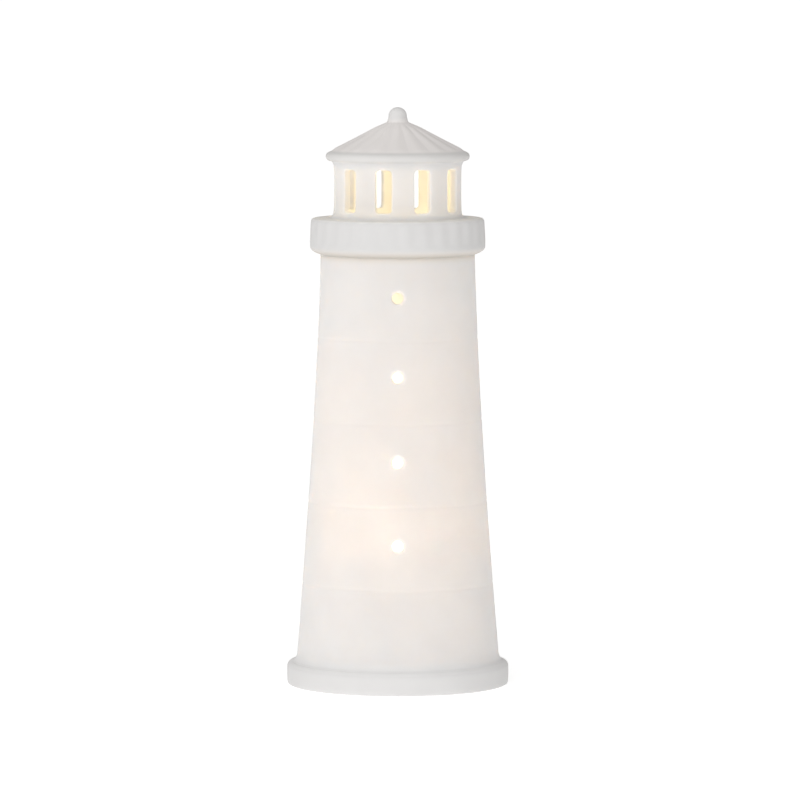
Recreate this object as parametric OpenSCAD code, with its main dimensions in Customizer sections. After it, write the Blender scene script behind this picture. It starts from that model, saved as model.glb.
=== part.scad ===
// Porcelain lighthouse with a battery light inside. Millimetres, +Z up, front is -Y.
// Origin: centre of the footprint, on the table.

/* [Lighthouse] */
// Overall height, table to top of knob
total_h = 249; // [200:1:300]
// Plinth diameter
base_d = 95.8; // [78:0.2:116]
// Plinth height
plinth_h = 10; // [8:0.2:14]
// How far the plinth stands out past the tower
plinth_step = 4.15; // [2:0.05:6]
// Tower diameter under the gallery
tower_top_d = 66.4; // [55:0.2:74]
// How much the tower's side hollows (1 is straight)
tower_curve = 1.325; // [1:0.005:1.8]
// Porcelain wall
wall = 3.4; // [2.8:0.1:4.2]
// Scored ring width
groove_w = 0.9; // [0.6:0.1:1.6]
// Scored ring depth
groove_t = 0.35; // [0.2:0.05:0.8]
// Porthole diameter
hole_d = 5; // [3:0.1:7]

/* [Gallery] */
// Gallery diameter
gallery_d = 75.6; // [68:0.2:90]
// Gallery height
gallery_h = 15.3; // [12:0.1:18]
// Number of flutes round the gallery
flutes = 30; // [20:1:36]
// Flute depth
flute_t = 0.45; // [0.2:0.05:0.8]
// Flute width
flute_w = 6.8; // [4:0.1:8]

/* [Lantern room] */
// Lantern room waist diameter
room_d = 54.8; // [46:0.2:64]
// Lantern room height
room_h = 24.5; // [20:0.1:30]
// Number of windows
windows = 10; // [8:1:12]
// Window width
window_w = 7.1; // [5:0.1:9]
// Window height
window_h = 18.4; // [14:0.1:21]
// Turn of the window ring
window_turn = 5; // [-18:0.5:18]

/* [Roof] */
// Eave diameter
eave_d = 62; // [54:0.5:72]
// Roof height, lantern room to knob
roof_h = 16.6; // [14:0.1:22]
// Eave bead thickness
bead_t = 3.9; // [3:0.1:5]
// Number of roof ribs
ribs = 18; // [12:1:24]
// Knob diameter
knob_d = 8.1; // [6:0.1:11]
// Knob height
knob_h = 6.5; // [6:0.1:10]

/* [Light unit] */
// Gap between the light unit and the porcelain round it
unit_gap = 1.7; // [1:0.1:3]
// Height of the light unit's round base
puck_h = 11; // [10.6:0.1:14]
// Plastic wall
shell_t = 1.8; // [1.4:0.1:2.4]
// Rubber foot height
foot_h = 1.2; // [0.8:0.1:2]
// Battery cell diameter
cell_d = 10.5; // [8.4:0.1:12.6]
// Battery cell length, tip included
cell_l = 44.5; // [37:0.1:54]
// Height of the frosted dome
dome_h = 16.5; // [13:0.5:20]
// Side-to-side travel of the switch
switch_travel = 4; // [3:0.1:5]
// Turn of the battery cover from locked to free
cover_turn = 35; // [30:1:35]
// Clearance between moving plastic parts
play = 0.3; // [0.3:0.05:0.5]

/* [Hidden] */
tower_z0 = plinth_h;
room_top = total_h - knob_h - roof_h;
room_z0 = room_top - room_h;
gallery_z0 = room_z0 - gallery_h;
tower_h = gallery_z0 - tower_z0;
roof_z1 = total_h - knob_h;

base_r = base_d / 2;
tower_base_r = base_r - plinth_step;
tower_top_r = tower_top_d / 2;
bore_r = tower_base_r - wall;
gallery_r = gallery_d / 2;
room_r = room_d / 2;
room_in_r = room_r - wall;
eave_r = eave_d / 2;
knob_r = knob_d / 2;

plate_t = 2;
plate_z = foot_h + plate_t;
deck_t = 1.8;
unit_r = bore_r - unit_gap;
cell_ring = (cell_d + 0.6) / sqrt(3);
frame_r = cell_ring + cell_d / 2 + 0.75;
barrel_in = frame_r + 1.3;
barrel_r = barrel_in + shell_t;
collar_r = barrel_r + 1.8;
frame_t = 1.2;
frame_z0 = plate_z + 3.1;
spring_h = 1.5;
tab_t = 0.3;
cell_z0 = frame_z0 + frame_t + tab_t;
frame_z1 = cell_z0 + spring_h + cell_l + tab_t + frame_t;
top_z0 = frame_z1 + 0.7;
top_t = 1.5;
lamp_z = top_z0 + top_t;
board_t = 1.2;
board_z = lamp_z + board_t;
board_r = barrel_in - 2.2;
dome_r = barrel_r - 0.3;
dome_t = 1;
screw_angles = [30, 180];
can_h = 4;
wire_r = 0.45;
wire_ring = barrel_in - 0.65;
hub_r = frame_r - 0.6;
cover_r = frame_r + 2.6;
lug_r = cover_r + 1.9;
lug_arc = 30;
seat_r = lug_r + 0.5;
mid_r = (seat_r + unit_r - shell_t) / 2;
switch_y = -mid_r - 0.2;

$fn = 96;

function lerp(a, b, t) = a + (b - a) * t;
function tower_r(t) = tower_top_r + (tower_base_r - tower_top_r) * pow(1 - t, tower_curve);
// The portholes were cut by eye, so their spacing is a little uneven.
hole_at = [0.303, 0.504, 0.7091, 0.9012];
function groove_at(i) = 0.194 + 0.2006 * i;
function band_lo(b) = b == 0 ? 0 : groove_at(b - 1) + groove_w / 2 / tower_h;
function band_hi(b) = b == 4 ? 1 : groove_at(b) - groove_w / 2 / tower_h;
function band(b) = [for (k = [0:5]) let (t = lerp(band_lo(b), band_hi(b), k / 5))
    [tower_r(t), tower_z0 + tower_h * t]];
function groove_floor(b) = b == 4 ? [] : [for (s = [-0.25, 0.25])
    let (t = groove_at(b) + s * groove_w / tower_h)
    [tower_r(t) - groove_t, tower_z0 + tower_h * t]];
function tower_in(n) = [for (k = [n:-1:0]) [tower_r(k / n) - wall, tower_z0 + tower_h * k / n]];
function arc(cx, cy, r, a0, a1, n) = [for (k = [0:n]) let (a = lerp(a0, a1, k / n))
    [cx + r * cos(a), cy + r * sin(a)]];
function slot_points(w, h, r) = concat(
    arc(w / 2 - r, h / 2 - r, r, 0, 90, 4),
    arc(-w / 2 + r, h / 2 - r, r, 90, 180, 4),
    arc(-w / 2 + r, -h / 2 + r, r, 180, 270, 4),
    arc(w / 2 - r, -h / 2 + r, r, 270, 360, 4));

porcelain_c = [0.93, 0.92, 0.91];
plastic_c = [0.9, 0.9, 0.88];
steel_c = [0.7, 0.7, 0.72];

// A ring of revolution with a rectangular section.
module ring(r0, r1, z0, z1) {
    rotate_extrude()
        translate([r0, z0])
            square([r1 - r0, z1 - z0]);
}

// A sector of a ring, centred on angle a and w degrees wide.
module sector(r0, r1, z0, z1, a, w) {
    rotate([0, 0, a - w / 2])
        rotate_extrude(angle = w)
            translate([r0, z0])
                square([r1 - r0, z1 - z0]);
}

module block(x, y, z0, z1) {
    translate([-x / 2, -y / 2, z0])
        cube([x, y, z1 - z0]);
}

// A straight round rod between two points.
module rod(a, b, r) {
    d = b - a;
    translate(a)
        rotate([0, acos(d[2] / norm(d)), atan2(d[1], d[0])])
            cylinder(h = norm(d), r = r, $fn = 32);
}

// ---- Porcelain ----

module plinth() {
    color(porcelain_c)
        rotate_extrude()
            polygon(concat(
                [[bore_r, plinth_h], [bore_r, plinth_h - wall],
                    [base_r - wall, plinth_h - wall - 0.6], [base_r - wall, 0]],
                [[base_r - 1.8, 0], [base_r - 0.7, 0.5], [base_r - 0.15, 1.5],
                    [base_r, 2.6]],
                arc(base_r - 2.8, plinth_h - 2.8, 2.8, 0, 90, 6)));
}

module tower() {
    color(porcelain_c)
        difference() {
            rotate_extrude()
                polygon(concat(
                    [for (b = [0:4]) each concat(band(b), groove_floor(b))],
                    tower_in(16)));
            for (i = [0:3])
                translate([0, 0, tower_z0 + tower_h * hole_at[i]])
                    rotate([90, 0, 0])
                        cylinder(h = base_r, d = hole_d, $fn = 48);
        }
}

module gallery() {
    z0 = gallery_z0;
    z1 = room_z0;
    r = gallery_r;
    in_r = tower_top_r - wall;
    cut_r = (pow(flute_w / 2, 2) + pow(flute_t, 2)) / (2 * flute_t);
    color(porcelain_c)
        difference() {
            rotate_extrude()
                polygon([[in_r, z0], [tower_top_r + 1, z0], [r - 2, z0 + 0.9],
                    [r - 0.7, z0 + 1.8], [r - 0.1, z0 + 2.8], [r, z0 + 4.2],
                    [r - 0.3, z1 - 1.5], [r - 0.7, z1 - 0.4], [r - 1.6, z1],
                    [room_in_r, z1], [room_in_r, z1 - wall], [r - wall - 0.5, z1 - wall],
                    [r - wall - 0.5, z0 + wall + 1.2], [in_r, z0 + wall]]);
            for (i = [0:flutes - 1])
                rotate([0, 0, i * 360 / flutes])
                    translate([r - flute_t + cut_r, 0, z0 - 1])
                        cylinder(h = gallery_h + 2, r = cut_r);
        }
}

module lantern_room() {
    z0 = room_z0;
    h = room_h;
    r = room_r;
    color(porcelain_c)
        difference() {
            rotate_extrude()
                polygon([[room_in_r, z0], [r + 1.7, z0], [r + 0.9, z0 + 0.9],
                    [r + 0.4, z0 + 2.6], [r + 0.1, z0 + 6], [r, z0 + h / 2],
                    [r + 0.1, z0 + h - 7], [r + 0.4, z0 + h - 3], [r + 0.8, z0 + h - 1.2],
                    [r + 1.4, z0 + h], [room_in_r, z0 + h]]);
            for (i = [0:windows - 1])
                rotate([0, 0, -90 + window_turn + (i + 0.5) * 360 / windows])
                    translate([0, 0, z0 + h / 2 - 0.05])
                        rotate([90, 0, 90])
                            linear_extrude(r + 5)
                                polygon(slot_points(window_w, window_h, 1.6));
        }
}

module roof() {
    z0 = room_top;
    z1 = roof_z1;
    b = bead_t / 2;
    foot = [eave_r - b - 0.6, z0 + bead_t + 0.45];
    tip = [knob_r + 0.8, z1];
    slope = atan2(tip[1] - foot[1], foot[0] - tip[0]);
    run = norm(tip - foot);
    color(porcelain_c)
        union() {
            rotate_extrude()
                polygon(concat(
                    [[room_in_r, z0]],
                    arc(eave_r - b, z0 + b, b, -90, 75, 9),
                    [foot, tip, [0, z1], [0, z1 - wall - 0.4]]));
            for (i = [0:ribs - 1])
                rotate([0, 0, (i + 0.5) * 360 / ribs])
                    translate([foot[0] - 0.3, 0, foot[1] - 0.75])
                        rotate([0, slope - 90, 0])
                            cylinder(h = run - 1.6, r1 = 1.35, r2 = 0.95, $fn = 32);
        }
}

module finial() {
    z0 = roof_z1;
    r = knob_r;
    color(porcelain_c)
        rotate_extrude()
            polygon(concat(
                [[0, z0], [r + 0.8, z0], [r + 0.25, z0 + 0.9], [r, z0 + 2.2]],
                [for (k = [0:8]) let (a = 90 * k / 8)
                    [(r - 0.1) * cos(a), total_h - r + 0.35 + (r - 0.35) * sin(a)]]));
}

// ---- Light unit ----

module housing() {
    color(plastic_c)
        difference() {
            union() {
                rotate_extrude()
                    polygon([[unit_r - shell_t, foot_h], [unit_r, foot_h],
                        [unit_r, puck_h - 1.2], [unit_r - 1.2, puck_h],
                        [barrel_r, puck_h], [barrel_r, lamp_z - 4],
                        [collar_r, lamp_z - 1.8], [collar_r, lamp_z], [0, lamp_z],
                        [0, top_z0], [barrel_in, top_z0], [barrel_in, plate_z + 2.2],
                        [barrel_r, plate_z + 2.2], [barrel_r, puck_h - deck_t],
                        [unit_r - shell_t, puck_h - deck_t]]);
                for (a = [90, 210, 330])
                    rotate([0, 0, a])
                        translate([mid_r, 0, plate_z])
                            cylinder(h = puck_h - deck_t - plate_z + 0.2, r = 3);
            }
            for (a = [90, 210, 330])
                rotate([0, 0, a])
                    translate([mid_r, 0, plate_z - 1])
                        cylinder(h = 6, r = 1, $fn = 32);
            translate([0, switch_y, 0])
                block(switch_travel + 3 + 2 * play + 0.4, 3 + 2 * play, 7, puck_h + 1);
            translate([0, 0, top_z0 - 1])
                cylinder(h = 4, r = 1.2, $fn = 32);
            for (s = [-1, 1])
                rotate([0, 0, -90 + 10 * s])
                    translate([wire_ring, 0, top_z0 - 1])
                        cylinder(h = 4, r = 0.6, $fn = 32);
            for (a = screw_angles)
                rotate([0, 0, a])
                    translate([board_r - 2, 0, top_z0 - 1])
                        cylinder(h = 4, r = 0.8, $fn = 32);
        }
}

module base_plate() {
    color([0.8, 0.8, 0.78])
        difference() {
            union() {
                ring(cover_r + play, unit_r - shell_t - 0.15, foot_h, plate_z);
                difference() {
                    ring(seat_r, seat_r + 1.4, plate_z - 0.5, plate_z + 3.2);
                    translate([0, -seat_r, 0])
                        block(9, 8, plate_z, plate_z + 5);
                }
                for (a = [0, 180])
                    for (b = [-18.6, cover_turn + 18.6])
                        sector(cover_r + play + 0.1, seat_r + 0.5, plate_z - 0.5, plate_z + 1.5, a + b, 4.6);
            }
            for (a = [0, 180])
                sector(cover_r - 1, lug_r + play, foot_h - 1, plate_z + 2, a + cover_turn, lug_arc + 2);
            for (a = [90, 210, 330])
                rotate([0, 0, a])
                    translate([mid_r, 0, foot_h - 1]) {
                        cylinder(h = 5, r = 1.2, $fn = 32);
                        cylinder(h = 2.1, r = 2.3, $fn = 48);
                    }
        }
}

module rubber_feet() {
    color([0.2, 0.2, 0.2])
        for (a = [45:90:315])
            rotate([0, 0, a])
                translate([unit_r - 7, 0, 0])
                    cylinder(h = foot_h, r1 = 3.2, r2 = 3.6);
}

module base_screws() {
    z = foot_h + 1.1;
    color(steel_c)
        for (a = [90, 210, 330])
            rotate([0, 0, a])
                translate([mid_r, 0, 0])
                    difference() {
                        union() {
                            translate([0, 0, z - 1])
                                cylinder(h = 1, r1 = 1.7, r2 = 2.1, $fn = 48);
                            translate([0, 0, z - 0.1])
                                cylinder(h = 5.4, r = 1, $fn = 32);
                        }
                        block(2.6, 0.5, z - 2, z - 0.5);
                        block(0.5, 2.6, z - 2, z - 0.5);
                    }
}

module cartridge() {
    color([0.15, 0.15, 0.16])
        union() {
            ring(0, frame_r, frame_z0, frame_z0 + frame_t);
            ring(2.2, frame_r, frame_z1 - frame_t, frame_z1);
            for (a = [30, 150, 270])
                rotate([0, 0, a])
                    translate([frame_r - 2.3, 0, frame_z0 + 0.4])
                        cylinder(h = frame_z1 - frame_z0 - 0.8, r = 1.9, $fn = 48);
        }
}

// One cell, tip up, standing on z = 0.
module cell() {
    difference() {
        union() {
            cylinder(h = cell_l - 0.9, d = cell_d, $fn = 64);
            cylinder(h = cell_l, r = 1.9, $fn = 48);
        }
        translate([0, 0, cell_l - 1.3])
            ring(2.6, 3.6, 0, 1);
    }
}

module cell_1() {
    color([0.2, 0.45, 0.3])
        rotate([0, 0, 90])
            translate([cell_ring, 0, cell_z0 + spring_h])
                cell();
}

module cell_2() {
    color([0.2, 0.45, 0.3])
        rotate([0, 0, 210])
            translate([cell_ring, 0, cell_z0 + cell_l])
                rotate([180, 0, 0])
                    cell();
}

module cell_3() {
    color([0.2, 0.45, 0.3])
        rotate([0, 0, 330])
            translate([cell_ring, 0, cell_z0 + spring_h])
                cell();
}

module cell_springs() {
    step = (spring_h - 0.5) / 3;
    color(steel_c)
        for (p = [[90, cell_z0, 1], [210, cell_z0 + cell_l + spring_h, -1], [330, cell_z0, 1]])
            rotate([0, 0, p[0]])
                translate([cell_ring, 0, p[1]])
                    scale([1, 1, p[2]])
                        rotate_extrude()
                            polygon([[3.5, 0], [3.5, 0.5], [3.2, step + 0.4], [2.9, 2 * step + 0.4],
                                [2.6, spring_h], [2.1, spring_h], [2.4, 2 * step - 0.1],
                                [2.7, step - 0.1], [3, 0]]);
}

module bridge_plates() {
    z0 = frame_z0 + frame_t;
    z1 = frame_z1 - frame_t - tab_t;
    color([0.8, 0.78, 0.7])
        union() {
            for (p = [[90, z0], [210, z0], [330, z0], [90, z1], [210, z1], [330, z1]])
                rotate([0, 0, p[0]])
                    translate([cell_ring, 0, p[1]])
                        cylinder(h = tab_t, r = 3.9, $fn = 48);
            rotate([0, 0, 150])
                translate([cell_ring / 2, 0, 0])
                    block(2.4, cell_ring * 1.4, z0, z0 + tab_t);
            rotate([0, 0, 270])
                translate([cell_ring / 2, 0, 0])
                    block(2.4, cell_ring * 1.4, z1, z1 + tab_t);
            rotate([0, 0, 90])
                translate([cell_ring / 2, 0, 0])
                    block(cell_ring, 2.2, z1, z1 + tab_t);
            translate([0, 0, z1])
                cylinder(h = frame_t + tab_t, r = 1.9, $fn = 48);
        }
}

module top_contact() {
    color([0.8, 0.66, 0.35])
        rotate_extrude($fn = 48)
            polygon([[0, frame_z1], [2.6, frame_z1], [2.9, frame_z1 + 0.3], [2.9, top_z0],
                [1.2, top_z0], [1.2, board_z], [2, board_z], [1.6, board_z + 0.4],
                [0.8, board_z + 0.65], [0, board_z + 0.7]]);
}

module led_board() {
    color([0.93, 0.94, 0.92])
        difference() {
            ring(0, board_r, lamp_z, board_z);
            translate([0, 0, lamp_z - 1])
                cylinder(h = 4, r = 1.2, $fn = 32);
            for (a = screw_angles)
                rotate([0, 0, a])
                    translate([board_r - 2, 0, lamp_z - 1])
                        cylinder(h = 4, r = 0.8, $fn = 32);
        }
}

module leds() {
    color([1, 0.9, 0.6])
        for (a = [90, 210, 330])
            rotate([0, 0, a])
                translate([5.6, 0, 0])
                    rotate_extrude($fn = 48)
                        polygon(concat(
                            [[0, board_z], [2.9, board_z], [2.9, board_z + 1], [2.5, board_z + 1]],
                            arc(0, board_z + 5, 2.5, 0, 90, 6)));
}

module resistors() {
    color([0.12, 0.12, 0.13])
        for (a = [30, 150, 270])
            rotate([0, 0, a])
                translate([4.3, 0, 0])
                    block(1.3, 2.2, board_z, board_z + 0.6);
}

module controller_chip() {
    color([0.1, 0.1, 0.11])
        rotate([0, 0, 135])
            translate([board_r - 3.2, 0, 0])
                union() {
                    block(3.2, 4.2, board_z + 0.1, board_z + 1.4);
                    for (y = [-1.3, 0, 1.3])
                        translate([0, y, 0])
                            block(4.6, 0.4, board_z, board_z + 0.5);
                }
}

module board_screws() {
    color(steel_c)
        for (a = screw_angles)
            rotate([0, 0, a])
                translate([board_r - 2, 0, 0])
                    difference() {
                        union() {
                            translate([0, 0, top_z0 + 0.2])
                                cylinder(h = board_z - top_z0, r = 0.8, $fn = 32);
                            translate([0, 0, board_z])
                                cylinder(h = 0.9, r1 = 1.6, r2 = 1.3, $fn = 48);
                        }
                        block(1.6, 0.4, board_z + 0.5, board_z + 2);
                        block(0.4, 1.6, board_z + 0.5, board_z + 2);
                    }
}

module diffuser_dome() {
    color([0.96, 0.94, 0.88, 0.9])
        rotate_extrude()
            polygon(concat(
                [[dome_r, lamp_z], [dome_r, lamp_z + 1.6], [dome_r - 0.4, lamp_z + 2]],
                [for (k = [0:12]) let (a = 90 * k / 12)
                    [(dome_r - 0.5) * cos(a), lamp_z + 2.2 + (dome_h - 2.2) * sin(a)]],
                [for (k = [12:-1:0]) let (a = 90 * k / 12)
                    [(dome_r - 0.5 - dome_t) * cos(a), lamp_z + 2.2 + (dome_h - 2.2 - dome_t) * sin(a)]],
                [[dome_r - 0.5 - dome_t, lamp_z]]));
}

module switch_can() {
    z1 = puck_h - deck_t;
    color(steel_c)
        translate([0, switch_y, 0])
            difference() {
                block(switch_travel + 9, 6.4, z1 - can_h, z1);
                block(switch_travel + 8.2, 5.6, z1 - can_h - 1, z1 - 0.4);
                block(switch_travel + 4, 3 + 2 * play, z1 - 1, z1 + 1);
            }
}

module switch_pins() {
    z1 = puck_h - deck_t - can_h;
    color([0.35, 0.22, 0.12])
        translate([0, switch_y, 0])
            union() {
                block(switch_travel + 9, 6.4, z1 - 0.5, z1);
                for (x = [-3, 0, 3])
                    translate([x, 0, 0])
                        block(1, 0.6, z1 - 1.7, z1 - 0.4);
            }
}

// Insulated wire from a switch pin, up the barrel, to the lamp board.
module wire(s) {
    a = [3 * s, switch_y + 0.4, plate_z + 0.9];
    b = [wire_ring * sin(10) * s, -wire_ring * cos(10), plate_z + 0.9];
    c = [b[0], b[1], board_z + 0.8];
    d = [b[0] * 0.9, -board_r + 2.6, board_z + 0.8];
    rod(a, b, wire_r);
    translate(b)
        sphere(r = wire_r + 0.08, $fn = 32);
    rod(b, c, wire_r);
    translate(c)
        sphere(r = wire_r + 0.08, $fn = 32);
    rod(c, d, wire_r);
    translate([d[0], d[1], board_z])
        cylinder(h = 1.1, r1 = 0.9, r2 = 0.6, $fn = 32);
}

module wire_red() {
    color([0.75, 0.08, 0.06])
        wire(1);
}

module wire_black() {
    color([0.06, 0.06, 0.06])
        wire(-1);
}

// ---- Battery cover and switch knob ----

module battery_cover() {
    color([0.8, 0.8, 0.78])
        difference() {
            union() {
                ring(0, cover_r, foot_h, plate_z);
                ring(hub_r - 2, hub_r, plate_z - 0.5, plate_z + 1.5);
                for (a = [0, 180])
                    sector(hub_r - 1, lug_r, plate_z + play, plate_z + play + 1.2, a, lug_arc);
            }
            block(14, 2, foot_h - 1, foot_h + 1);
        }
}

module cover_pad() {
    color([0.25, 0.25, 0.27])
        ring(0, hub_r - 3, plate_z, frame_z0 - play);
}

module switch_slider() {
    z1 = puck_h - deck_t;
    x0 = -switch_travel / 2;
    color([0.12, 0.12, 0.13])
        translate([x0, switch_y, 0])
            union() {
                block(5, 4.6, z1 - 3, z1 - 1.4);
                block(3, 3, z1 - 2, puck_h + 1);
                block(5.6, 5, puck_h + play, puck_h + 1.7);
                for (x = [-1.9, 0, 1.9])
                    translate([x, 0, 0])
                        block(0.8, 5, puck_h + 1.6, puck_h + 2.3);
            }
}

plinth();
tower();
gallery();
lantern_room();
roof();
finial();
housing();
base_plate();
rubber_feet();
base_screws();
cartridge();
cell_1();
cell_2();
cell_3();
cell_springs();
bridge_plates();
top_contact();
led_board();
leds();
resistors();
controller_chip();
board_screws();
diffuser_dome();
switch_can();
switch_pins();
wire_red();
wire_black();
battery_cover();
cover_pad();
switch_slider();
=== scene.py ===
"""Looks of the porcelain lighthouse light: bisque porcelain over a lit battery unit."""

from math import asin, cos, exp, hypot, pi, radians, sin, sqrt

import bmesh
import bpy
from mathutils import Matrix, Vector


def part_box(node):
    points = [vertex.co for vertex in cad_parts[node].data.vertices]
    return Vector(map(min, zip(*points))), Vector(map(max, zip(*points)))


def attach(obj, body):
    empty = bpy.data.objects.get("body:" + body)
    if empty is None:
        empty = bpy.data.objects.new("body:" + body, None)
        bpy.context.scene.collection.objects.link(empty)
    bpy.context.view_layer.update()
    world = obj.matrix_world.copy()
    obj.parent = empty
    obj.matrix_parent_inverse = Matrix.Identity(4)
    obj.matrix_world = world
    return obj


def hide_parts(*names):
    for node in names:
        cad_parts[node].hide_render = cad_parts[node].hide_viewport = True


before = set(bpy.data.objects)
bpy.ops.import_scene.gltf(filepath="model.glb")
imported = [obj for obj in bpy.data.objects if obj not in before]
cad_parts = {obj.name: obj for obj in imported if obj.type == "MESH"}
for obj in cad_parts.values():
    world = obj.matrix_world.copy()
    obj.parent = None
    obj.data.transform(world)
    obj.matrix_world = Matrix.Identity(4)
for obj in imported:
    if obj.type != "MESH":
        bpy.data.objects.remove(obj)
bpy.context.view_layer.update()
MM = 0.001
MM_MATRIX = Matrix.Scale(MM, 4)

# ---------------------------------------------------------------- sizes, mm


def span(node):
    """(outer radius, lowest z, highest z) of a round CAD node, in mm."""
    low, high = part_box(node)
    return (high[0] - low[0]) / 2 / MM, low[2] / MM, high[2] / MM


PLINTH_R, _, PLINTH_TOP = span("plinth")
TOWER_R, TOWER_Z0, TOWER_Z1 = span("tower")
_, GALLERY_Z0, GALLERY_Z1 = span("gallery")
_, ROOM_Z0, ROOM_Z1 = span("lantern_room")
EAVE_R, _, ROOF_Z1 = span("roof")
_, KNOB_Z0, KNOB_Z1 = span("finial")

WALL = 3.4
TOWER_TOP_R = 33.2
TOWER_CURVE = 1.325
TOWER_H = TOWER_Z1 - TOWER_Z0
GROOVES = [TOWER_Z0 + TOWER_H * (0.194 + 0.2006 * i) for i in range(4)]
GROOVE_DEPTH, GROOVE_W = 0.14, 0.7
THINNING, THINNING_W = 0.12, 1.3  # how much thinner the wall is behind a ring
HOLES = [TOWER_Z0 + TOWER_H * t for t in (0.303, 0.504, 0.7091, 0.9012)]
HOLE_R, HOLE_LIP = 2.4, 1.3
HOLE_ANGLE = radians(-90)

GALLERY_R = 37.8
FLUTES = 30
FLUTE_DEPTH = 0.32

ROOM_R = 27.4
ROOM_IN_R = ROOM_R - WALL
WINDOWS = 10
WINDOW_W, WINDOW_H, WINDOW_CORNER, WINDOW_LIP = 7.1, 18.4, 1.6, 0.6
WINDOW_TURN = radians(-90 + 5)
WINDOW_Z = (ROOM_Z0 + ROOM_Z1) / 2 - 0.05

BEAD_R = 1.95
RIBS, RIB_H = 18, 0.5
KNOB_R = 4.05
SINK = 0.12  # how far a fillet's feathered foot dips into the piece it stands on

# How tall and how wide each wall flares out where it meets its neighbour
TOWER_FOOT = (4.2, 1.75)
TOWER_HEAD = (1.0, 0.8)
ROOM_FOOT = (2.6, 1.7)
ROOM_HEAD = (2.4, 1.3)

# ---------------------------------------------------------------- mesh code


def to_object(bm, name):
    """A smooth-shaded object from a bmesh whose coordinates are in mm."""
    bmesh.ops.recalc_face_normals(bm, faces=bm.faces)
    for f in bm.faces:
        f.smooth = True
    mesh = bpy.data.meshes.new(name)
    bm.to_mesh(mesh)
    bm.free()
    mesh.transform(MM_MATRIX)
    obj = bpy.data.objects.new(name, mesh)
    bpy.context.scene.collection.objects.link(obj)
    return obj


def polar(r, a, z):
    return (r * cos(a), r * sin(a), z)


def bridge(bm, a, b):
    """Quads between two closed loops of vertices of the same length."""
    n = len(a)
    for i in range(n):
        j = (i + 1) % n
        bm.faces.new((a[i], a[j], b[j], b[i]))


def arc(cx, cy, r, start, end, n):
    """Points on an arc, angles in degrees."""
    out = []
    for k in range(n + 1):
        a = radians(start + (end - start) * k / n)
        out.append((cx + r * cos(a), cy + r * sin(a)))
    return out


def rounded(points, radius, n):
    """The open outline with its inner corners, (x, y, r) or (x, y), rounded by curves of n steps."""
    out = []
    for k, p in enumerate(points):
        r = p[2] if len(p) > 2 else radius
        if k in (0, len(points) - 1) or r <= 0:
            out.append((p[0], p[1]))
            continue
        here = Vector(p[:2])
        to_a = Vector(points[k - 1][:2]) - here
        to_b = Vector(points[k + 1][:2]) - here
        cut = min(r, to_a.length * 0.49, to_b.length * 0.49)
        a = here + to_a.normalized() * cut
        b = here + to_b.normalized() * cut
        for i in range(n + 1):
            t = i / n
            q = a.lerp(here, t).lerp(here.lerp(b, t), t)
            out.append((q.x, q.y))
    return out


def steps_in(length, step):
    """How many equal steps, none of them longer than step, fill a length."""
    almost_one = 0.999
    return max(1, int(length / step + almost_one))


def resampled(points, step):
    """The outline with no straight stretch longer than step."""
    out = [points[0]]
    for a, b in zip(points, points[1:]):
        n = steps_in(hypot(b[0] - a[0], b[1] - a[1]), step)
        for i in range(1, n + 1):
            t = i / n
            out.append((a[0] + (b[0] - a[0]) * t, a[1] + (b[1] - a[1]) * t))
    return out


def revolve(bm, outline, turns, shape=None, closed=True):
    """Turns an outline of (r, z) about Z. A point on the axis becomes one vertex.

    shape(r, z, angle) says where each other point goes.
    """
    rows = []
    for r, z in outline:
        if r < 1e-6:
            v = bm.verts.new((0, 0, z))
            rows.append([v] * turns)
            continue
        row = []
        for i in range(turns):
            a = 2 * pi * i / turns
            rr, zz = shape(r, z, a) if shape else (r, z)
            row.append(bm.verts.new(polar(rr, a, zz)))
        rows.append(row)
    pairs = list(zip(rows, rows[1:]))
    if closed:
        pairs.append((rows[-1], rows[0]))
    for a, b in pairs:
        for i in range(turns):
            j = (i + 1) % turns
            face = []
            for v in (a[i], a[j], b[j], b[i]):
                if v not in face:
                    face.append(v)
            if len(face) > 2:
                bm.faces.new(face)


def hole_outline(half_w, half_h, corner, grow, counts):
    """A rounded rectangle or circle as (u, v), counter-clockwise from the lower left."""
    bend = 3  # steps of a side in each half of a rounded corner
    half_w, half_h, corner = half_w + grow, half_h + grow, corner + grow
    sides = []
    for k, (along, across) in enumerate(((half_w, half_h), (half_h, half_w)) * 2):
        n = counts[k % 2]
        straight = along - corner
        side = []
        for i in range(n):
            if straight < 1e-6:
                a = radians(-45 + 90 * i / n)
                p = (corner * sin(a), -across + corner - corner * cos(a))
            elif i < bend:
                a = radians(-45 + 45 * i / bend)
                p = (-straight + corner * sin(a), -across + corner - corner * cos(a))
            elif i > n - bend:
                a = radians(45 - 45 * (n - i) / bend)
                p = (straight + corner * sin(a), -across + corner - corner * cos(a))
            else:
                p = (-straight + 2 * straight * (i - bend) / (n - 2 * bend), -across)
            side.append(p)
        turn = k * pi / 2
        sides += [(x * cos(turn) - y * sin(turn), x * sin(turn) + y * cos(turn)) for x, y in side]
    return sides


def block_edge(i0, i1, j0, j1):
    """The grid points round a block of cells, counter-clockwise from its lower left."""
    edge = [(i, j0) for i in range(i0, i1)]
    edge += [(i1, j) for j in range(j0, j1)]
    edge += [(i, j1) for i in range(i1, i0, -1)]
    edge += [(i0, j) for j in range(j1, j0, -1)]
    return edge


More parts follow.
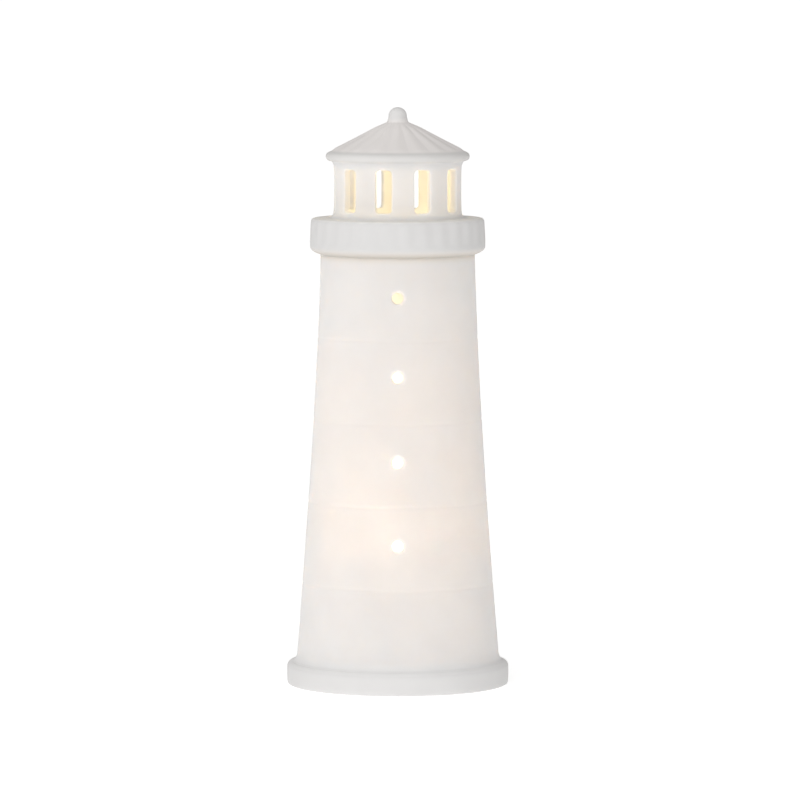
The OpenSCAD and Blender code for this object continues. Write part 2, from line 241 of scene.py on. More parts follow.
def pierced_wall(name, outer, inner, angles, levels, holes, lip):
    """A round wall between outer(angle, z) and inner(angle, z), with holes whose edges lip rounds.

    Each hole is (block of grid cells, centre angle, centre height, half width, half height,
    corner radius). Its block's cells are left out, and loops join the block's edge to the hole.
    """
    bm = bmesh.new()
    n = len(angles)
    surfaces = (outer, inner)
    grids = [[[None] * n for _ in levels] for _ in surfaces]
    cut, inside = set(), set()
    for (i0, i1, j0, j1), *_ in holes:
        cut.update((i % n, j) for i in range(i0, i1) for j in range(j0, j1))
        inside.update((i % n, j) for i in range(i0 + 1, i1) for j in range(j0 + 1, j1))
    for grid, surface in zip(grids, surfaces):
        for j, z in enumerate(levels):
            for i, a in enumerate(angles):
                if (i, j) not in inside:
                    grid[j][i] = bm.verts.new(polar(surface(a, z), a, z))
        for j in range(len(levels) - 1):
            for i in range(n):
                if (i, j) in cut:
                    continue
                k = (i + 1) % n
                bm.faces.new((grid[j][i], grid[j][k], grid[j + 1][k], grid[j + 1][i]))
    bridge(bm, grids[0][0], grids[1][0])
    bridge(bm, grids[0][-1], grids[1][-1])

    for block, centre, height, half_w, half_h, corner in holes:
        i0, i1, j0, j1 = block
        counts = (i1 - i0, j1 - j0)
        edge = block_edge(i0, i1, j0, j1)

        def ring(grow, depth, mix, side):
            """Vertices of one loop round the hole. mix below 1 slides it towards the block's edge."""
            loop = []
            surface = surfaces[side]
            points = hole_outline(half_w, half_h, corner, grow, counts)
            for (u, v), (i, j) in zip(points, edge):
                if mix < 1:
                    turn = angles[i % n] - centre
                    turn -= 2 * pi * round(turn / (2 * pi))
                    z_edge = levels[j]
                    u_edge = surface(centre, z_edge) * sin(turn)
                    u = u_edge + (u - u_edge) * mix
                    v = (z_edge - height) + (v - (z_edge - height)) * mix
                z = height + v
                r = surface(centre, z)
                a = centre + asin(u / r)
                r = surface(a, z)
                if depth:
                    r += -depth if side == 0 else depth
                    a = centre + asin(u / r)
                loop.append(bm.verts.new(polar(r, a, z)))
            return loop

        slides = (0.25, 0.5, 0.75)
        lip_turns = [radians(t) for t in (0, 22.5, 45, 67.5, 90)]
        loops = [[grids[0][j][i % n] for i, j in edge]]
        loops += [ring(lip, 0, mix, 0) for mix in slides]
        loops += [ring(lip * (1 - sin(t)), lip * (1 - cos(t)), 1, 0) for t in lip_turns]
        loops += [ring(lip * (1 - sin(t)), lip * (1 - cos(t)), 1, 1) for t in reversed(lip_turns)]
        loops += [ring(lip, 0, mix, 1) for mix in reversed(slides)]
        loops.append([grids[1][j][i % n] for i, j in edge])
        for a, b in zip(loops, loops[1:]):
            bridge(bm, a, b)
    return to_object(bm, name)


# ---------------------------------------------------------------- materials


def node_material(name):
    mat = bpy.data.materials.new(name)
    mat.use_nodes = True
    tree = mat.node_tree
    tree.nodes.clear()
    out = tree.nodes.new("ShaderNodeOutputMaterial")
    bsdf = tree.nodes.new("ShaderNodeBsdfPrincipled")
    tree.links.new(bsdf.outputs["BSDF"], out.inputs["Surface"])
    return mat, tree, bsdf


def noise(tree, scale, detail):
    tex = tree.nodes.new("ShaderNodeTexNoise")
    tex.inputs["Scale"].default_value = scale
    tex.inputs["Detail"].default_value = detail
    where = tree.nodes.new("ShaderNodeTexCoord")
    tree.links.new(where.outputs["Object"], tex.inputs["Vector"])
    return tex


def ramp(tree, source, low, high):
    """A colour ramp over the middle of a noise's values."""
    r = tree.nodes.new("ShaderNodeValToRGB")
    r.color_ramp.elements[0].position = 0.3
    r.color_ramp.elements[1].position = 0.7
    r.color_ramp.elements[0].color = (*low, 1)
    r.color_ramp.elements[1].color = (*high, 1)
    tree.links.new(source.outputs["Fac"], r.inputs["Fac"])
    return r


def bump(tree, source, height, strength):
    """A bump of that height in metres from a noise's value."""
    b = tree.nodes.new("ShaderNodeBump")
    b.inputs["Distance"].default_value = height
    b.inputs["Strength"].default_value = strength
    tree.links.new(source.outputs["Fac"], b.inputs["Height"])
    return b


def height_ramp(tree, stops):
    """A colour ramp up the object. stops are (height in mm, grey or colour)."""
    low, high = stops[0][0], stops[-1][0]
    where = tree.nodes.new("ShaderNodeTexCoord")
    split = tree.nodes.new("ShaderNodeSeparateXYZ")
    level = tree.nodes.new("ShaderNodeMapRange")
    level.inputs["From Min"].default_value = low * MM
    level.inputs["From Max"].default_value = high * MM
    fade = tree.nodes.new("ShaderNodeValToRGB")
    marks = fade.color_ramp.elements
    while len(marks) < len(stops):
        marks.new(0.5)
    for mark, (z, value) in zip(marks, stops):
        mark.position = (z - low) / (high - low)
        mark.color = (*value, 1) if isinstance(value, tuple) else (value, value, value, 1)
    tree.links.new(where.outputs["Object"], split.inputs["Vector"])
    tree.links.new(split.outputs["Z"], level.inputs["Value"])
    tree.links.new(level.outputs["Result"], fade.inputs["Fac"])
    return fade


BISQUE_LOW, BISQUE_HIGH = (0.742, 0.733, 0.727), (0.768, 0.76, 0.754)


def porcelain_material(name, scale, painted_light_tints, fades=()):
    """Unglazed bisque: chalky, fine-grained, and lit through where it is thin.

    scale is how far light goes in it, in metres. tints are (height in mm, what its tone is
    multiplied by), and they paint light and shade up the piece: glow painted near a lit foot, shade
    painted under a rim or ledge. fades are (height in mm, how lit through), since a joint passes no
    light.
    """
    mat, tree, bsdf = node_material(name)
    tone = ramp(tree, noise(tree, 60, 3), BISQUE_LOW, BISQUE_HIGH)
    tone_and_painted_light = tree.nodes.new("ShaderNodeVectorMath")
    tone_and_painted_light.operation = "MULTIPLY"
    tree.links.new(tone.outputs["Color"], tone_and_painted_light.inputs[0])
    tree.links.new(height_ramp(tree, painted_light_tints).outputs["Color"], tone_and_painted_light.inputs[1])
    tree.links.new(tone_and_painted_light.outputs["Vector"], bsdf.inputs["Base Color"])
    rough = ramp(tree, noise(tree, 900, 2), (0.52,) * 3, (0.66,) * 3)
    tree.links.new(rough.outputs["Color"], bsdf.inputs["Roughness"])
    grain = bump(tree, noise(tree, 2600, 3), 0.00003, 0.35)
    tree.links.new(grain.outputs["Normal"], bsdf.inputs["Normal"])
    bsdf.inputs["Specular IOR Level"].default_value = 0.12
    bsdf.inputs["Subsurface Radius"].default_value = (1.0, 0.94, 0.86)
    bsdf.inputs["Subsurface Scale"].default_value = scale
    bsdf.subsurface_method = "RANDOM_WALK"
    if fades:
        tree.links.new(height_ramp(tree, fades).outputs["Color"], bsdf.inputs["Subsurface Weight"])
    return mat


# ---------------------------------------------------------------- porcelain shapes


def wander(a, z, size=0.08):
    """Slow unevenness of a hand-finished casting, in mm."""
    slow = sin(2 * a + 0.031 * z + 1.1)
    middle = 0.7 * sin(3 * a - 0.047 * z + 2.3)
    quick = 0.5 * sin(5 * a + 0.083 * z)
    return size * (slow + middle + quick)


def fillet(away, tall, wide):
    """How far a wall flares out, this far away from the face that it meets."""
    k = 1 - max(0.0, away) / tall
    return wide * (1 - sqrt(1 - k * k)) if k > 0 else 0.0


def tower_profile(z):
    t = min(1.0, max(0.0, (z - TOWER_Z0) / TOWER_H))
    return TOWER_TOP_R + (TOWER_R - TOWER_TOP_R) * (1 - t) ** TOWER_CURVE


def tower_outer(a, z):
    r = tower_profile(z) + wander(a, z)
    for g in GROOVES:
        wave = g + 0.12 * sin(2 * a + g) + 0.08 * sin(5 * a + 2 * g)
        r -= GROOVE_DEPTH * exp(-(((z - wave) / GROOVE_W) ** 2))
    r += fillet(z - TOWER_Z0, *TOWER_FOOT) + fillet(TOWER_Z1 - z, *TOWER_HEAD)
    return r


def tower_inner(a, z):
    thinner = sum(THINNING * exp(-(((z - g) / THINNING_W) ** 2)) for g in GROOVES)
    return tower_profile(z) - WALL + thinner + wander(a + 0.7, z + 20, 0.05)


def nearest(levels, z):
    """The index of the level closest to a height."""
    return min(range(len(levels)), key=lambda j: abs(levels[j] - z))


def tower_levels(hole_cells, hole_half):
    """Heights of the tower's rows, close together at its joints, rings and portholes."""
    keys = {TOWER_Z0 - SINK, TOWER_Z0, TOWER_Z1, TOWER_Z1 + SINK}
    for k in range(8):
        keys.add(TOWER_Z0 + 0.02 * (k + 1) ** 2 + 0.36 * k + 0.15)
        keys.add(TOWER_Z1 - 0.12 * k - 0.15)
    for g in GROOVES:
        for d in (-2.4, -1.7, -1.2, -0.8, -0.4, 0, 0.4, 0.8, 1.2, 1.7, 2.4):
            keys.add(g + d)
    for h in HOLES:
        for k in range(hole_cells + 1):
            keys.add(h - hole_half + 2 * hole_half * k / hole_cells)
    keys = sorted(keys)
    levels = [keys[0]]
    for z in keys[1:]:
        gap = z - levels[-1]
        m = steps_in(gap, 2.4)
        levels += [levels[-1] + gap * (i + 1) / m for i in range(m)]
    return levels


def make_tower():
    """The tapered shell with its scored rings and a column of portholes up the front."""
    column_deg = 2
    hole_cells = 8
    hole_half = 2 * HOLE_R
    first = -90 - column_deg * hole_cells / 2
    angles = [radians(first + column_deg * i) for i in range(360 // column_deg)]
    levels = tower_levels(hole_cells, hole_half)
    holes = []
    for h in HOLES:
        block = (0, hole_cells, nearest(levels, h - hole_half), nearest(levels, h + hole_half))
        holes.append((block, HOLE_ANGLE, h, HOLE_R, HOLE_R, HOLE_R))
    return pierced_wall("tower_shell", tower_outer, tower_inner, angles, levels, holes, HOLE_LIP)


def room_outer(a, z):
    low = z - ROOM_Z0
    high = ROOM_Z1 - z
    r = ROOM_R + fillet(low, *ROOM_FOOT) + 0.4 * exp(-max(0, low) / 3.5)
    r += fillet(high, *ROOM_HEAD) + 0.4 * exp(-max(0, high) / 3.0)
    return r + wander(a, z, 0.04)


def room_inner(a, z):
    return ROOM_IN_R


def make_lantern_room():
    """The ring of round-cornered windows between the gallery and the eave."""
    pillar_cells, window_cells, rows = 4, 10, 18
    step = 2 * pi / WINDOWS
    frame_half = radians(13)
    frame_margin = 1.3
    low_z = WINDOW_Z - WINDOW_H / 2 - frame_margin
    high_z = WINDOW_Z + WINDOW_H / 2 + frame_margin
    levels = [ROOM_Z0 + z for z in (-SINK, 0, 0.04, 0.14, 0.3, 0.55, 0.9, 1.3)]
    levels += [low_z + (high_z - low_z) * k / rows for k in range(rows + 1)]
    levels += [ROOM_Z1 - z for z in (0.9, 0.5, 0.22, 0.06, 0, -SINK)]
    levels = sorted(levels)
    j0 = nearest(levels, low_z)
    angles = []
    holes = []
    for w in range(WINDOWS):
        centre = WINDOW_TURN + (w + 0.5) * step
        start = len(angles)
        for k in range(window_cells):
            angles.append(centre - frame_half + 2 * frame_half * k / window_cells)
        gap = step - 2 * frame_half
        for k in range(pillar_cells):
            angles.append(centre + frame_half + gap * k / pillar_cells)
        block = (start, start + window_cells, j0, j0 + rows)
        holes.append((block, centre, WINDOW_Z, WINDOW_W / 2, WINDOW_H / 2, WINDOW_CORNER))
    return pierced_wall(
        "lantern_room_shell", room_outer, room_inner, angles, levels, holes, WINDOW_LIP)


def make_plinth():
    """The round-shouldered ring under the tower, hollow below."""
    bm = bmesh.new()
    bore = TOWER_R - WALL
    outline = rounded(
        [
            (bore, PLINTH_TOP - 1),
            (bore, PLINTH_TOP - WALL, 0.8),
            (PLINTH_R - WALL, PLINTH_TOP - WALL - 0.6, 1.4),
            (PLINTH_R - WALL, 0, 0.5),
            (PLINTH_R - 0.15, 0, 1.5),
            (PLINTH_R, PLINTH_TOP * 0.45, 0),
            (PLINTH_R, PLINTH_TOP, 2.6),
            (bore, PLINTH_TOP, 0),
            (bore, PLINTH_TOP - 1),
        ],
        0.5,
        6,
    )

    def uneven(r, z, a):
        outside = z > 0.4 and r > PLINTH_R - 3
        return (r - 0.06 + wander(a, 3 * z, 0.02) if outside else r), z

    revolve(bm, resampled(outline[:-1], 1.5), 180, uneven)
    return to_object(bm, "plinth_shell")


def make_gallery():
    """The hollow drum round the tower's top, softly fluted outside."""
    bm = bmesh.new()
    z0, z1, r = GALLERY_Z0, GALLERY_Z1, GALLERY_R
    bore = TOWER_TOP_R - WALL
    outline = rounded(
        [
            (bore, z0 + 1),
            (bore, z0, 0),
            (TOWER_TOP_R + 0.8, z0, 0),
            (TOWER_TOP_R + 1.9, z0 + 0.25, 0.6),
            (r, z0 + 1.9, 2.3),
            (r, z0 + 6, 0),
            (r - 0.5, z1, 1.8),
            (ROOM_IN_R, z1, 0),
            (ROOM_IN_R, z1 - WALL, 1.0),
            (r - WALL - 0.5, z1 - WALL, 1.5),
            (r - WALL - 0.5, z0 + WALL + 1.2, 2.0),
            (bore, z0 + WALL, 1.0),
            (bore, z0 + 1),
        ],
        0.5,
        6,
    )

    def fluted(rr, z, a):
        if rr < r - 2.2:
            return rr, z
        low = min(1.0, max(0.0, (z - z0 - 3.4) / 2.4))
        high = min(1.0, max(0.0, (z1 - 0.1 - z) / 1.2))
        fade = low * low * (3 - 2 * low) * high * high * (3 - 2 * high)
        wave = 0.5 - 0.5 * cos(FLUTES * a)
        return rr - 0.05 - FLUTE_DEPTH * fade * wave + wander(a, z, 0.03), z

    revolve(bm, resampled(outline[:-1], 1.0), 360, fluted)
    return to_object(bm, "gallery_shell")


def make_roof():
    """The low ribbed cone with a bead round its eave."""
    bm = bmesh.new()
    z0 = ROOM_Z1
    foot = (EAVE_R - BEAD_R - 0.6, z0 + 2 * BEAD_R + 0.45)
    tip = (KNOB_R + 0.9, ROOF_Z1 - 0.1)
    outline = [(0, ROOF_Z1 - WALL - 0.4), (ROOM_IN_R, z0)]
    outline += arc(EAVE_R - BEAD_R, z0 + BEAD_R, BEAD_R, -90, 66, 12)
    outline.append((foot[0] + 0.35, foot[1] - 0.12))
    rows = 24
    run, rise = tip[0] - foot[0], tip[1] - foot[1]
    outline += [(foot[0] + run * k / rows, foot[1] + rise * k / rows) for k in range(rows + 1)]
    outline += [(KNOB_R, ROOF_Z1), (0, ROOF_Z1)]

    def ribbed(r, z, a):
        if not (z >= foot[1] and tip[0] <= r <= foot[0]):
            return r, z
        along = (foot[0] - r) / (foot[0] - tip[0])
        fade = min(1.0, along / 0.05) * min(1.0, (1 - along) / 0.22)
        swing = ((a * RIBS / (2 * pi)) % 1) - 0.5
        across = abs(swing) * 2 * pi * r / RIBS
        half = 0.75 + 0.09 * r
        height = RIB_H * exp(-((across / half) ** 2)) * fade
        return r, z + height - 0.12 * sin(pi * min(1.0, along * 1.2)) * fade

    revolve(bm, outline, 432, ribbed)
    return to_object(bm, "roof_shell")


def make_finial():
    """The domed knob, whose foot flares out and sinks into the roof."""
    bm = bmesh.new()
    r, base, top = KNOB_R, KNOB_Z0, KNOB_Z1 - 0.02
    cap_r, cap_rise = r - 0.12, r - 0.35
    cap = top - cap_rise
    side = [(r + 2, base - 0.76), (r + 0.5, base + 0.05, 0.8), (r + 0.05, base + 1.7, 0.8), (cap_r, cap)]
    outline = [(0, base)] + rounded(side, 0.5, 5)
    outline += [(cap_r * cos(radians(t)), cap + cap_rise * sin(radians(t))) for t in range(8, 90, 8)]
    outline += [(0, top)]
    revolve(bm, outline, 96, closed=False)
    return to_object(bm, "finial_knob")


def dress(obj, mat, body, node=None):
    """Gives a piece its material and body, and hides the CAD part that it stands for."""
    obj.data.materials.clear()
    obj.data.materials.append(mat)
    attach(obj, body)
    if node:
        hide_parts(node)


# Painted light and shade on the tower: its foot is painted lighter as glow of the lamp inside, and its
# top 3 mm painted darker and warmer as shade and glow under the gallery.
tower_bisque = porcelain_material(
    "bisque_tower", 0.004,
    [
        (TOWER_Z0, (1.07, 1.07, 1.07)),
        (TOWER_Z0 + 4, (0.98, 0.98, 0.98)),
        (TOWER_Z1 - 3, (0.97, 0.97, 0.97)),
        (TOWER_Z1 - 1.5, (0.97, 0.945, 0.9)),
        (TOWER_Z1, (0.95, 0.88, 0.78)),
    ],
    [(TOWER_Z0, 0), (TOWER_Z0 + 5, 1), (TOWER_Z1 - 2, 1), (TOWER_Z1, 0.8)])
# Painted light on the lantern room: its foot is painted lighter and warmer, as the lamp's glow coming up
# through it.
room_bisque = porcelain_material(
    "bisque_lantern_room", 0.0045,
    [(ROOM_Z0, (1.13, 1.11, 1.07)), (ROOM_Z0 + 6, (0.99, 0.98, 0.97)), (ROOM_Z1, (0.98, 0.98, 0.98))],
    [(ROOM_Z0, 0.4), (ROOM_Z0 + 2, 1), (ROOM_Z1 - 3.5, 1), (ROOM_Z1, 0)])
# Painted light on the plinth: its top 1.6 mm is painted lighter where it meets the foot of the tower;
# below that it is a little darker all over.
plinth_bisque = porcelain_material(
    "bisque_plinth", 0.001,
    [(0, 0.93), (PLINTH_TOP - 1.6, 0.93), (PLINTH_TOP - 0.3, 1.05), (PLINTH_TOP, 1.08)])
# Painted shade on the gallery: darker all over than the walls lit through from inside, and a dark warm
# tan at its bottom edge as shade and glow under its rim; its top is painted lighter as light on the
# deck.
gallery_bisque = porcelain_material(
    "bisque_gallery", 0.001,
    [
        (GALLERY_Z0, (0.83, 0.77, 0.69)),
        (GALLERY_Z0 + 0.8, (0.86, 0.81, 0.75)),
        (GALLERY_Z0 + 1.9, (0.9, 0.875, 0.845)),
        (GALLERY_Z0 + 3.2, (0.89, 0.89, 0.89)),
        (GALLERY_Z1 - 1, (0.895, 0.895, 0.895)),
        (GALLERY_Z1, (1.05, 1.04, 1.01)),
    ])
# Painted light and shade on the roof: the bead round the eave is painted darker as shade, and the slope
# above painted lighter as light falling on it. The knob is a little darker.
EAVE_PAINTED_SHADE, ROOF_PAINTED_LIGHT, KNOB_TINT = (0.9, 0.895, 0.885), (1.04, 1.01, 0.995), (0.94, 0.94, 0.94)
BEAD_TOP = ROOM_Z1 + 2 * BEAD_R
roof_bisque = porcelain_material(
    "bisque_roof", 0.001,
    [
        (ROOM_Z1, EAVE_PAINTED_SHADE),
        (BEAD_TOP, EAVE_PAINTED_SHADE),
        (BEAD_TOP + 0.8, ROOF_PAINTED_LIGHT),
        (KNOB_Z0, ROOF_PAINTED_LIGHT),
        (KNOB_Z0 + 2, KNOB_TINT),
        (KNOB_Z1, KNOB_TINT),
    ])
for made, node, bisque in (
    (make_plinth(), "plinth", plinth_bisque),
    (make_tower(), "tower", tower_bisque),
    (make_gallery(), "gallery", gallery_bisque),
    (make_lantern_room(), "lantern_room", room_bisque),
    (make_roof(), "roof", roof_bisque),
    (make_finial(), "finial", roof_bisque),
):
    dress(made, bisque, "porcelain_body", node)

# ---------------------------------------------------------------- light unit

DOME_R, DOME_Z0, DOME_Z1 = span("diffuser_dome")
DOME_T = 1.0
FOOT_HALF, FOOT_Z0, FOOT_Z1 = span("rubber_feet")
FOOT_R = 3.6
LAMP_COLOUR, LAMP_STRENGTH = (1.0, 0.81, 0.6, 1), 2.5


def make_dome():
    """The frosted cover over the lamps, with a bead where it clips on."""
    bm = bmesh.new()
    inset = 0.5
    collar = 2.3
    spring, rise = DOME_Z0 + collar, DOME_Z1 - DOME_Z0 - collar

    def cap(wall, turns):
        """Points on a dome that lies this far inside the cover's outside."""
        across, up = DOME_R - inset - wall, rise - wall
        return [(across * cos(radians(t)), spring + up * sin(radians(t))) for t in turns]

    rim = [(DOME_R - 1.5, DOME_Z0), (DOME_R, DOME_Z0, 0.4), (DOME_R, DOME_Z0 + 1.7, 0.5)]
    outline = rounded(rim + [(DOME_R - inset, spring)], 0.4, 5)
    outline += cap(0, range(3, 90, 3)) + [(0, spring + rise)]
    outline += [(0, spring + rise - DOME_T)] + cap(DOME_T, range(87, 0, -3))
    outline.append((DOME_R - 1.5, DOME_Z0 + 1))
    revolve(bm, outline, 128)
    return to_object(bm, "frosted_cover")


def make_feet():
    """Four pads with a rounded rim and a dished sole."""
    bm = bmesh.new()
    place = FOOT_HALF - FOOT_R
    z0, z1, r = FOOT_Z0, FOOT_Z1, FOOT_R
    outline = [(0, z0 + 0.25)] + rounded(
        [(r - 1.5, z0 + 0.25), (r - 1.2, z0, 0.3), (r - 0.4, z0, 0.4), (r, z1)], 0.3, 4) + [(0, z1)]
    for sx in (-1, 1):
        for sy in (-1, 1):
            made = bmesh.new()
            revolve(made, outline, 48, closed=False)
            bmesh.ops.translate(made, verts=made.verts, vec=(sx * place, sy * place, 0))
            part = bpy.data.meshes.new("pad")
            made.to_mesh(part)
            made.free()
            bm.from_mesh(part)
            bpy.data.meshes.remove(part)
    return to_object(bm, "foot_pads")


def soft_edges(tree, bsdf, grain, radius):
    """Rounds the look of a CAD solid's sharp edges under the grain."""
    bevel = tree.nodes.new("ShaderNodeBevel")
    bevel.inputs["Radius"].default_value = radius
    tree.links.new(bevel.outputs["Normal"], grain.inputs["Normal"])
    tree.links.new(grain.outputs["Normal"], bsdf.inputs["Normal"])


def moulded(name, colour, rough, grain=0.00004, scale=700, vary=0.06, metal=0.0, edge=0.0003):
    """A material whose tone, gloss and grain all vary a little."""
    mat, tree, bsdf = node_material(name)
    low = [max(0.0, c * (1 - vary)) for c in colour]
    high = [min(1.0, c * (1 + vary)) for c in colour]
    tone = ramp(tree, noise(tree, scale / 8, 3), low, high)
    tree.links.new(tone.outputs["Color"], bsdf.inputs["Base Color"])
    gloss = ramp(tree, noise(tree, scale / 3, 2), (rough * 0.88,) * 3, (min(1, rough * 1.12),) * 3)
    tree.links.new(gloss.outputs["Color"], bsdf.inputs["Roughness"])
    bsdf.inputs["Metallic"].default_value = metal
    soft_edges(tree, bsdf, bump(tree, noise(tree, scale, 3), grain, 0.5), edge)
    return mat


def lit_frosted():
    """Frosted plastic with the lamps on behind it."""
    mat = moulded("frosted_plastic_lit", (0.9, 0.88, 0.8), 0.6, edge=0.0002)
    bsdf = mat.node_tree.nodes["Principled BSDF"]
    bsdf.inputs["Emission Color"].default_value = LAMP_COLOUR
    bsdf.inputs["Emission Strength"].default_value = LAMP_STRENGTH
    return mat


def sleeve():
    """A cell's printed sleeve: black below, copper round the top, with no lettering."""
    mat = moulded("cell_sleeve_two_tone", (0.03, 0.03, 0.032), 0.35)
    tree = mat.node_tree
    bsdf = tree.nodes["Principled BSDF"]
    low, high = (v[2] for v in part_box("cell_1"))
    where = tree.nodes.new("ShaderNodeTexCoord")
    split = tree.nodes.new("ShaderNodeSeparateXYZ")
    level = tree.nodes.new("ShaderNodeMapRange")
    level.inputs["From Min"].default_value = low
    level.inputs["From Max"].default_value = high
    band = tree.nodes.new("ShaderNodeValToRGB")
    band.color_ramp.interpolation = "CONSTANT"
    black, copper, steel = (0.03, 0.03, 0.032), (0.62, 0.3, 0.12), (0.7, 0.7, 0.7)
    stops = band.color_ramp.elements
    stops.new(0.72)
    for stop, (at, colour) in zip(stops, ((0.02, black), (0.72, copper), (0.96, steel))):
        stop.position = at
        stop.color = (*colour, 1)
    tree.links.new(where.outputs["Object"], split.inputs["Vector"])
    tree.links.new(split.outputs["Z"], level.inputs["Value"])
    tree.links.new(level.outputs["Result"], band.inputs["Fac"])
    tree.links.new(band.outputs["Color"], bsdf.inputs["Base Color"])
    return mat


STEEL = moulded("zinc_steel", (0.6, 0.6, 0.62), 0.32, 0.00001, 1500, 0.05, 1.0)
WHITE_ABS = moulded("white_abs", (0.8, 0.8, 0.78), 0.42)
GREY_ABS = moulded("grey_abs", (0.42, 0.42, 0.43), 0.5)
BLACK_ABS = moulded("black_abs", (0.022, 0.022, 0.024), 0.45, vary=0.2)
RUBBER = moulded("foot_rubber", (0.03, 0.03, 0.03), 0.85, 0.00008, 1200, 0.25)
NICKEL = moulded("nickel_plate", (0.74, 0.71, 0.65), 0.25, 0.00001, 1500, 0.05, 1.0)
BRASS = moulded("brass_contact", (0.8, 0.6, 0.28), 0.3, 0.00001, 1500, 0.06, 1.0)
CELL = sleeve()
CAD_LOOKS = {
    "housing": WHITE_ABS,
    "base_plate": GREY_ABS,
    "battery_cover": GREY_ABS,
    "cartridge": BLACK_ABS,
    "switch_slider": BLACK_ABS,
    "base_screws": STEEL,
    "board_screws": STEEL,
    "switch_can": NICKEL,
    "bridge_plates": NICKEL,
    "cell_springs": NICKEL,
    "top_contact": BRASS,
    "switch_pins": moulded("phenolic_board", (0.3, 0.16, 0.07), 0.6),
    "cell_1": CELL,
    "cell_2": CELL,
    "cell_3": CELL,
    "led_board": moulded("white_solder_mask", (0.78, 0.79, 0.76), 0.35),
    "leds": moulded("warm_led_epoxy", (0.9, 0.75, 0.35), 0.2),
    "resistors": moulded("resistor_ceramic", (0.05, 0.05, 0.055), 0.4),
    "controller_chip": moulded("chip_epoxy", (0.025, 0.025, 0.028), 0.5),
    "wire_red": moulded("red_pvc", (0.5, 0.02, 0.015), 0.4),
    "wire_black": moulded("black_pvc", (0.02, 0.02, 0.02), 0.4),
    "cover_pad": moulded("grey_foam", (0.2, 0.2, 0.21), 0.95, 0.0003, 900, 0.25),
}
for node, mat in CAD_LOOKS.items():
    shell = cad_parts[node]
    shell.data.materials.clear()
    shell.data.materials.append(mat)
dress(make_dome(), lit_frosted(), "light_unit", "diffuser_dome")
dress(make_feet(), RUBBER, "light_unit", "rubber_feet")

# ---------------------------------------------------------------- stage


FLOOR_GREY, FLOOR_GLOW, FLOOR_REACH = 0.95, 0.42, 40


def make_floor():
    """A white floor that is clear from below, so that the underside can be looked at."""
    mesh = bpy.data.meshes.new("floor")
    bm = bmesh.new()
    bmesh.ops.create_grid(bm, x_segments=1, y_segments=1, size=FLOOR_REACH)
    bm.to_mesh(mesh)
    bm.free()
    floor = bpy.data.objects.new("floor", mesh)
    bpy.context.scene.collection.objects.link(floor)
    mat, tree, bsdf = node_material("floor_white")
    bsdf.inputs["Base Color"].default_value = (FLOOR_GREY, FLOOR_GREY, FLOOR_GREY, 1)
    bsdf.inputs["Roughness"].default_value = 0.9
    bsdf.inputs["Specular IOR Level"].default_value = 0.0
    bsdf.inputs["Emission Color"].default_value = (1, 1, 1, 1)
    bsdf.inputs["Emission Strength"].default_value = FLOOR_GLOW
    geometry = tree.nodes.new("ShaderNodeNewGeometry")
    clear = tree.nodes.new("ShaderNodeBsdfTransparent")
    one_sided = tree.nodes.new("ShaderNodeMixShader")
    tree.links.new(geometry.outputs["Backfacing"], one_sided.inputs["Fac"])
    tree.links.new(bsdf.outputs["BSDF"], one_sided.inputs[1])
    tree.links.new(clear.outputs["BSDF"], one_sided.inputs[2])
    tree.links.new(one_sided.outputs["Shader"], tree.nodes["Material Output"].inputs["Surface"])
    mesh.materials.append(mat)


DARK_SIDE = (0.0, 0.0, 0.0)
BRIGHT_SIDE = (0.86, 0.855, 0.85)
TO_LIGHT = (-0.13, -0.23, 0.36)  # where the studio is brightest: above, in front and a little left


def make_world():
    """A soft studio, brightest overhead and fading towards the back and right."""
    world = bpy.data.worlds.new("studio")
    bpy.context.scene.world = world
    world.use_nodes = True
    tree = world.node_tree
    where = tree.nodes.new("ShaderNodeTexCoord")
    lean = tree.nodes.new("ShaderNodeVectorMath")
    lean.operation = "DOT_PRODUCT"
    lean.inputs[1].default_value = TO_LIGHT
    level = tree.nodes.new("ShaderNodeMapRange")
    reach = Vector(TO_LIGHT).length
    level.inputs["From Min"].default_value = -reach
    level.inputs["From Max"].default_value = reach
    sky = tree.nodes.new("ShaderNodeValToRGB")
    sky.color_ramp.elements[0].color = (*DARK_SIDE, 1)
    sky.color_ramp.elements[1].color = (*BRIGHT_SIDE, 1)
    tree.links.new(where.outputs["Generated"], lean.inputs[0])
    tree.links.new(lean.outputs["Value"], level.inputs["Value"])
    tree.links.new(level.outputs["Result"], sky.inputs["Fac"])
    tree.links.new(sky.outputs["Color"], tree.nodes["Background"].inputs["Color"])
    tree.nodes["Background"].inputs["Strength"].default_value = 1.0


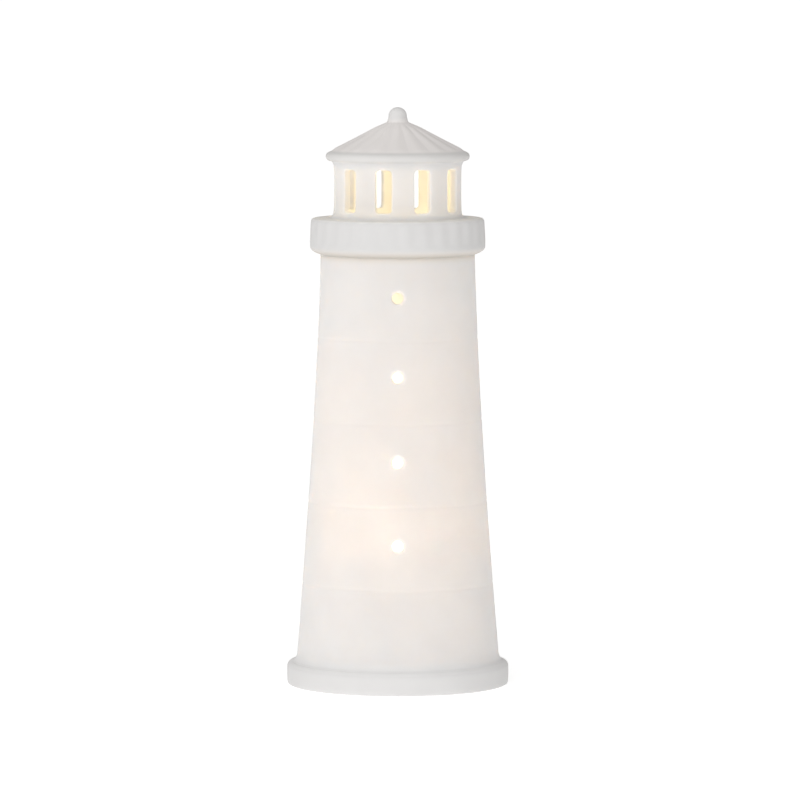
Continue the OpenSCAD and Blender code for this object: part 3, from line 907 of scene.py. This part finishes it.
def softbox(name, place, aim, size, power):
    """A white panel light that the camera can't see."""
    data = bpy.data.lights.new(name, "AREA")
    data.shape = "RECTANGLE"
    data.size, data.size_y = size
    data.energy = power
    lamp = bpy.data.objects.new(name, data)
    lamp.location = place
    lamp.rotation_euler = (Vector(aim) - Vector(place)).to_track_quat("-Z", "Y").to_euler()
    lamp.visible_camera = False
    bpy.context.scene.collection.objects.link(lamp)


def inner_glow(name, aside, height, radius, power, colour):
    """A soft ball of lamplight inside the porcelain. Its place and radius are in mm."""
    data = bpy.data.lights.new(name, "POINT")
    data.shadow_soft_size = radius * MM
    data.energy = power
    data.color = colour
    lamp = bpy.data.objects.new(name, data)
    lamp.location = (aside * MM, 0, height * MM)
    lamp.visible_camera = False
    bpy.context.scene.collection.objects.link(lamp)


CAMERA_PLACE = (0.001, -2.64, 0.33537)
CAMERA_AIM = (0.001, 0, 0.12277)
CAMERA_LENS = 276.5


def make_camera():
    """In front of the lighthouse and looking slightly down on it."""
    data = bpy.data.cameras.new("camera")
    data.lens = CAMERA_LENS
    data.sensor_width = 36
    data.clip_end = 100
    cam = bpy.data.objects.new("camera", data)
    cam.location = CAMERA_PLACE
    cam.rotation_euler = (Vector(CAMERA_AIM) - Vector(CAMERA_PLACE)).to_track_quat("-Z", "Y").to_euler()
    bpy.context.scene.collection.objects.link(cam)
    bpy.context.scene.camera = cam


KEY_PLACE, KEY_AIM, KEY_SIZE, KEY_POWER = (-0.75, -1.92, 0.9), (0, 0, 0.12), (1.2, 1.2), 10
# The lamps' light inside the porcelain: name, place along X, height and radius, power, colour
GLOWS = (
    ("glow_dome", 4, (DOME_Z0 + DOME_Z1) / 2, DOME_R + 1, 0.32, (1.0, 0.79, 0.56)),
    ("glow_low", 0, 50, 33, 0.04, LAMP_COLOUR[:3]),
    ("glow_high", 0, 130, 10, 0.026, LAMP_COLOUR[:3]),
    ("glow_lantern", 0, WINDOW_Z, 6, 0.0062, (1.0, 0.97, 0.48)),
)

make_floor()
make_world()
softbox("key_left", KEY_PLACE, KEY_AIM, KEY_SIZE, KEY_POWER)
for glow in GLOWS:
    inner_glow(*glow)
make_camera()
scene = bpy.context.scene
scene.view_settings.view_transform = "Standard"
scene.cycles.diffuse_bounces = 12
scene.cycles.max_bounces = 16
scene.cycles.sample_clamp_indirect = 6.0

bpy.context.view_layer.update()
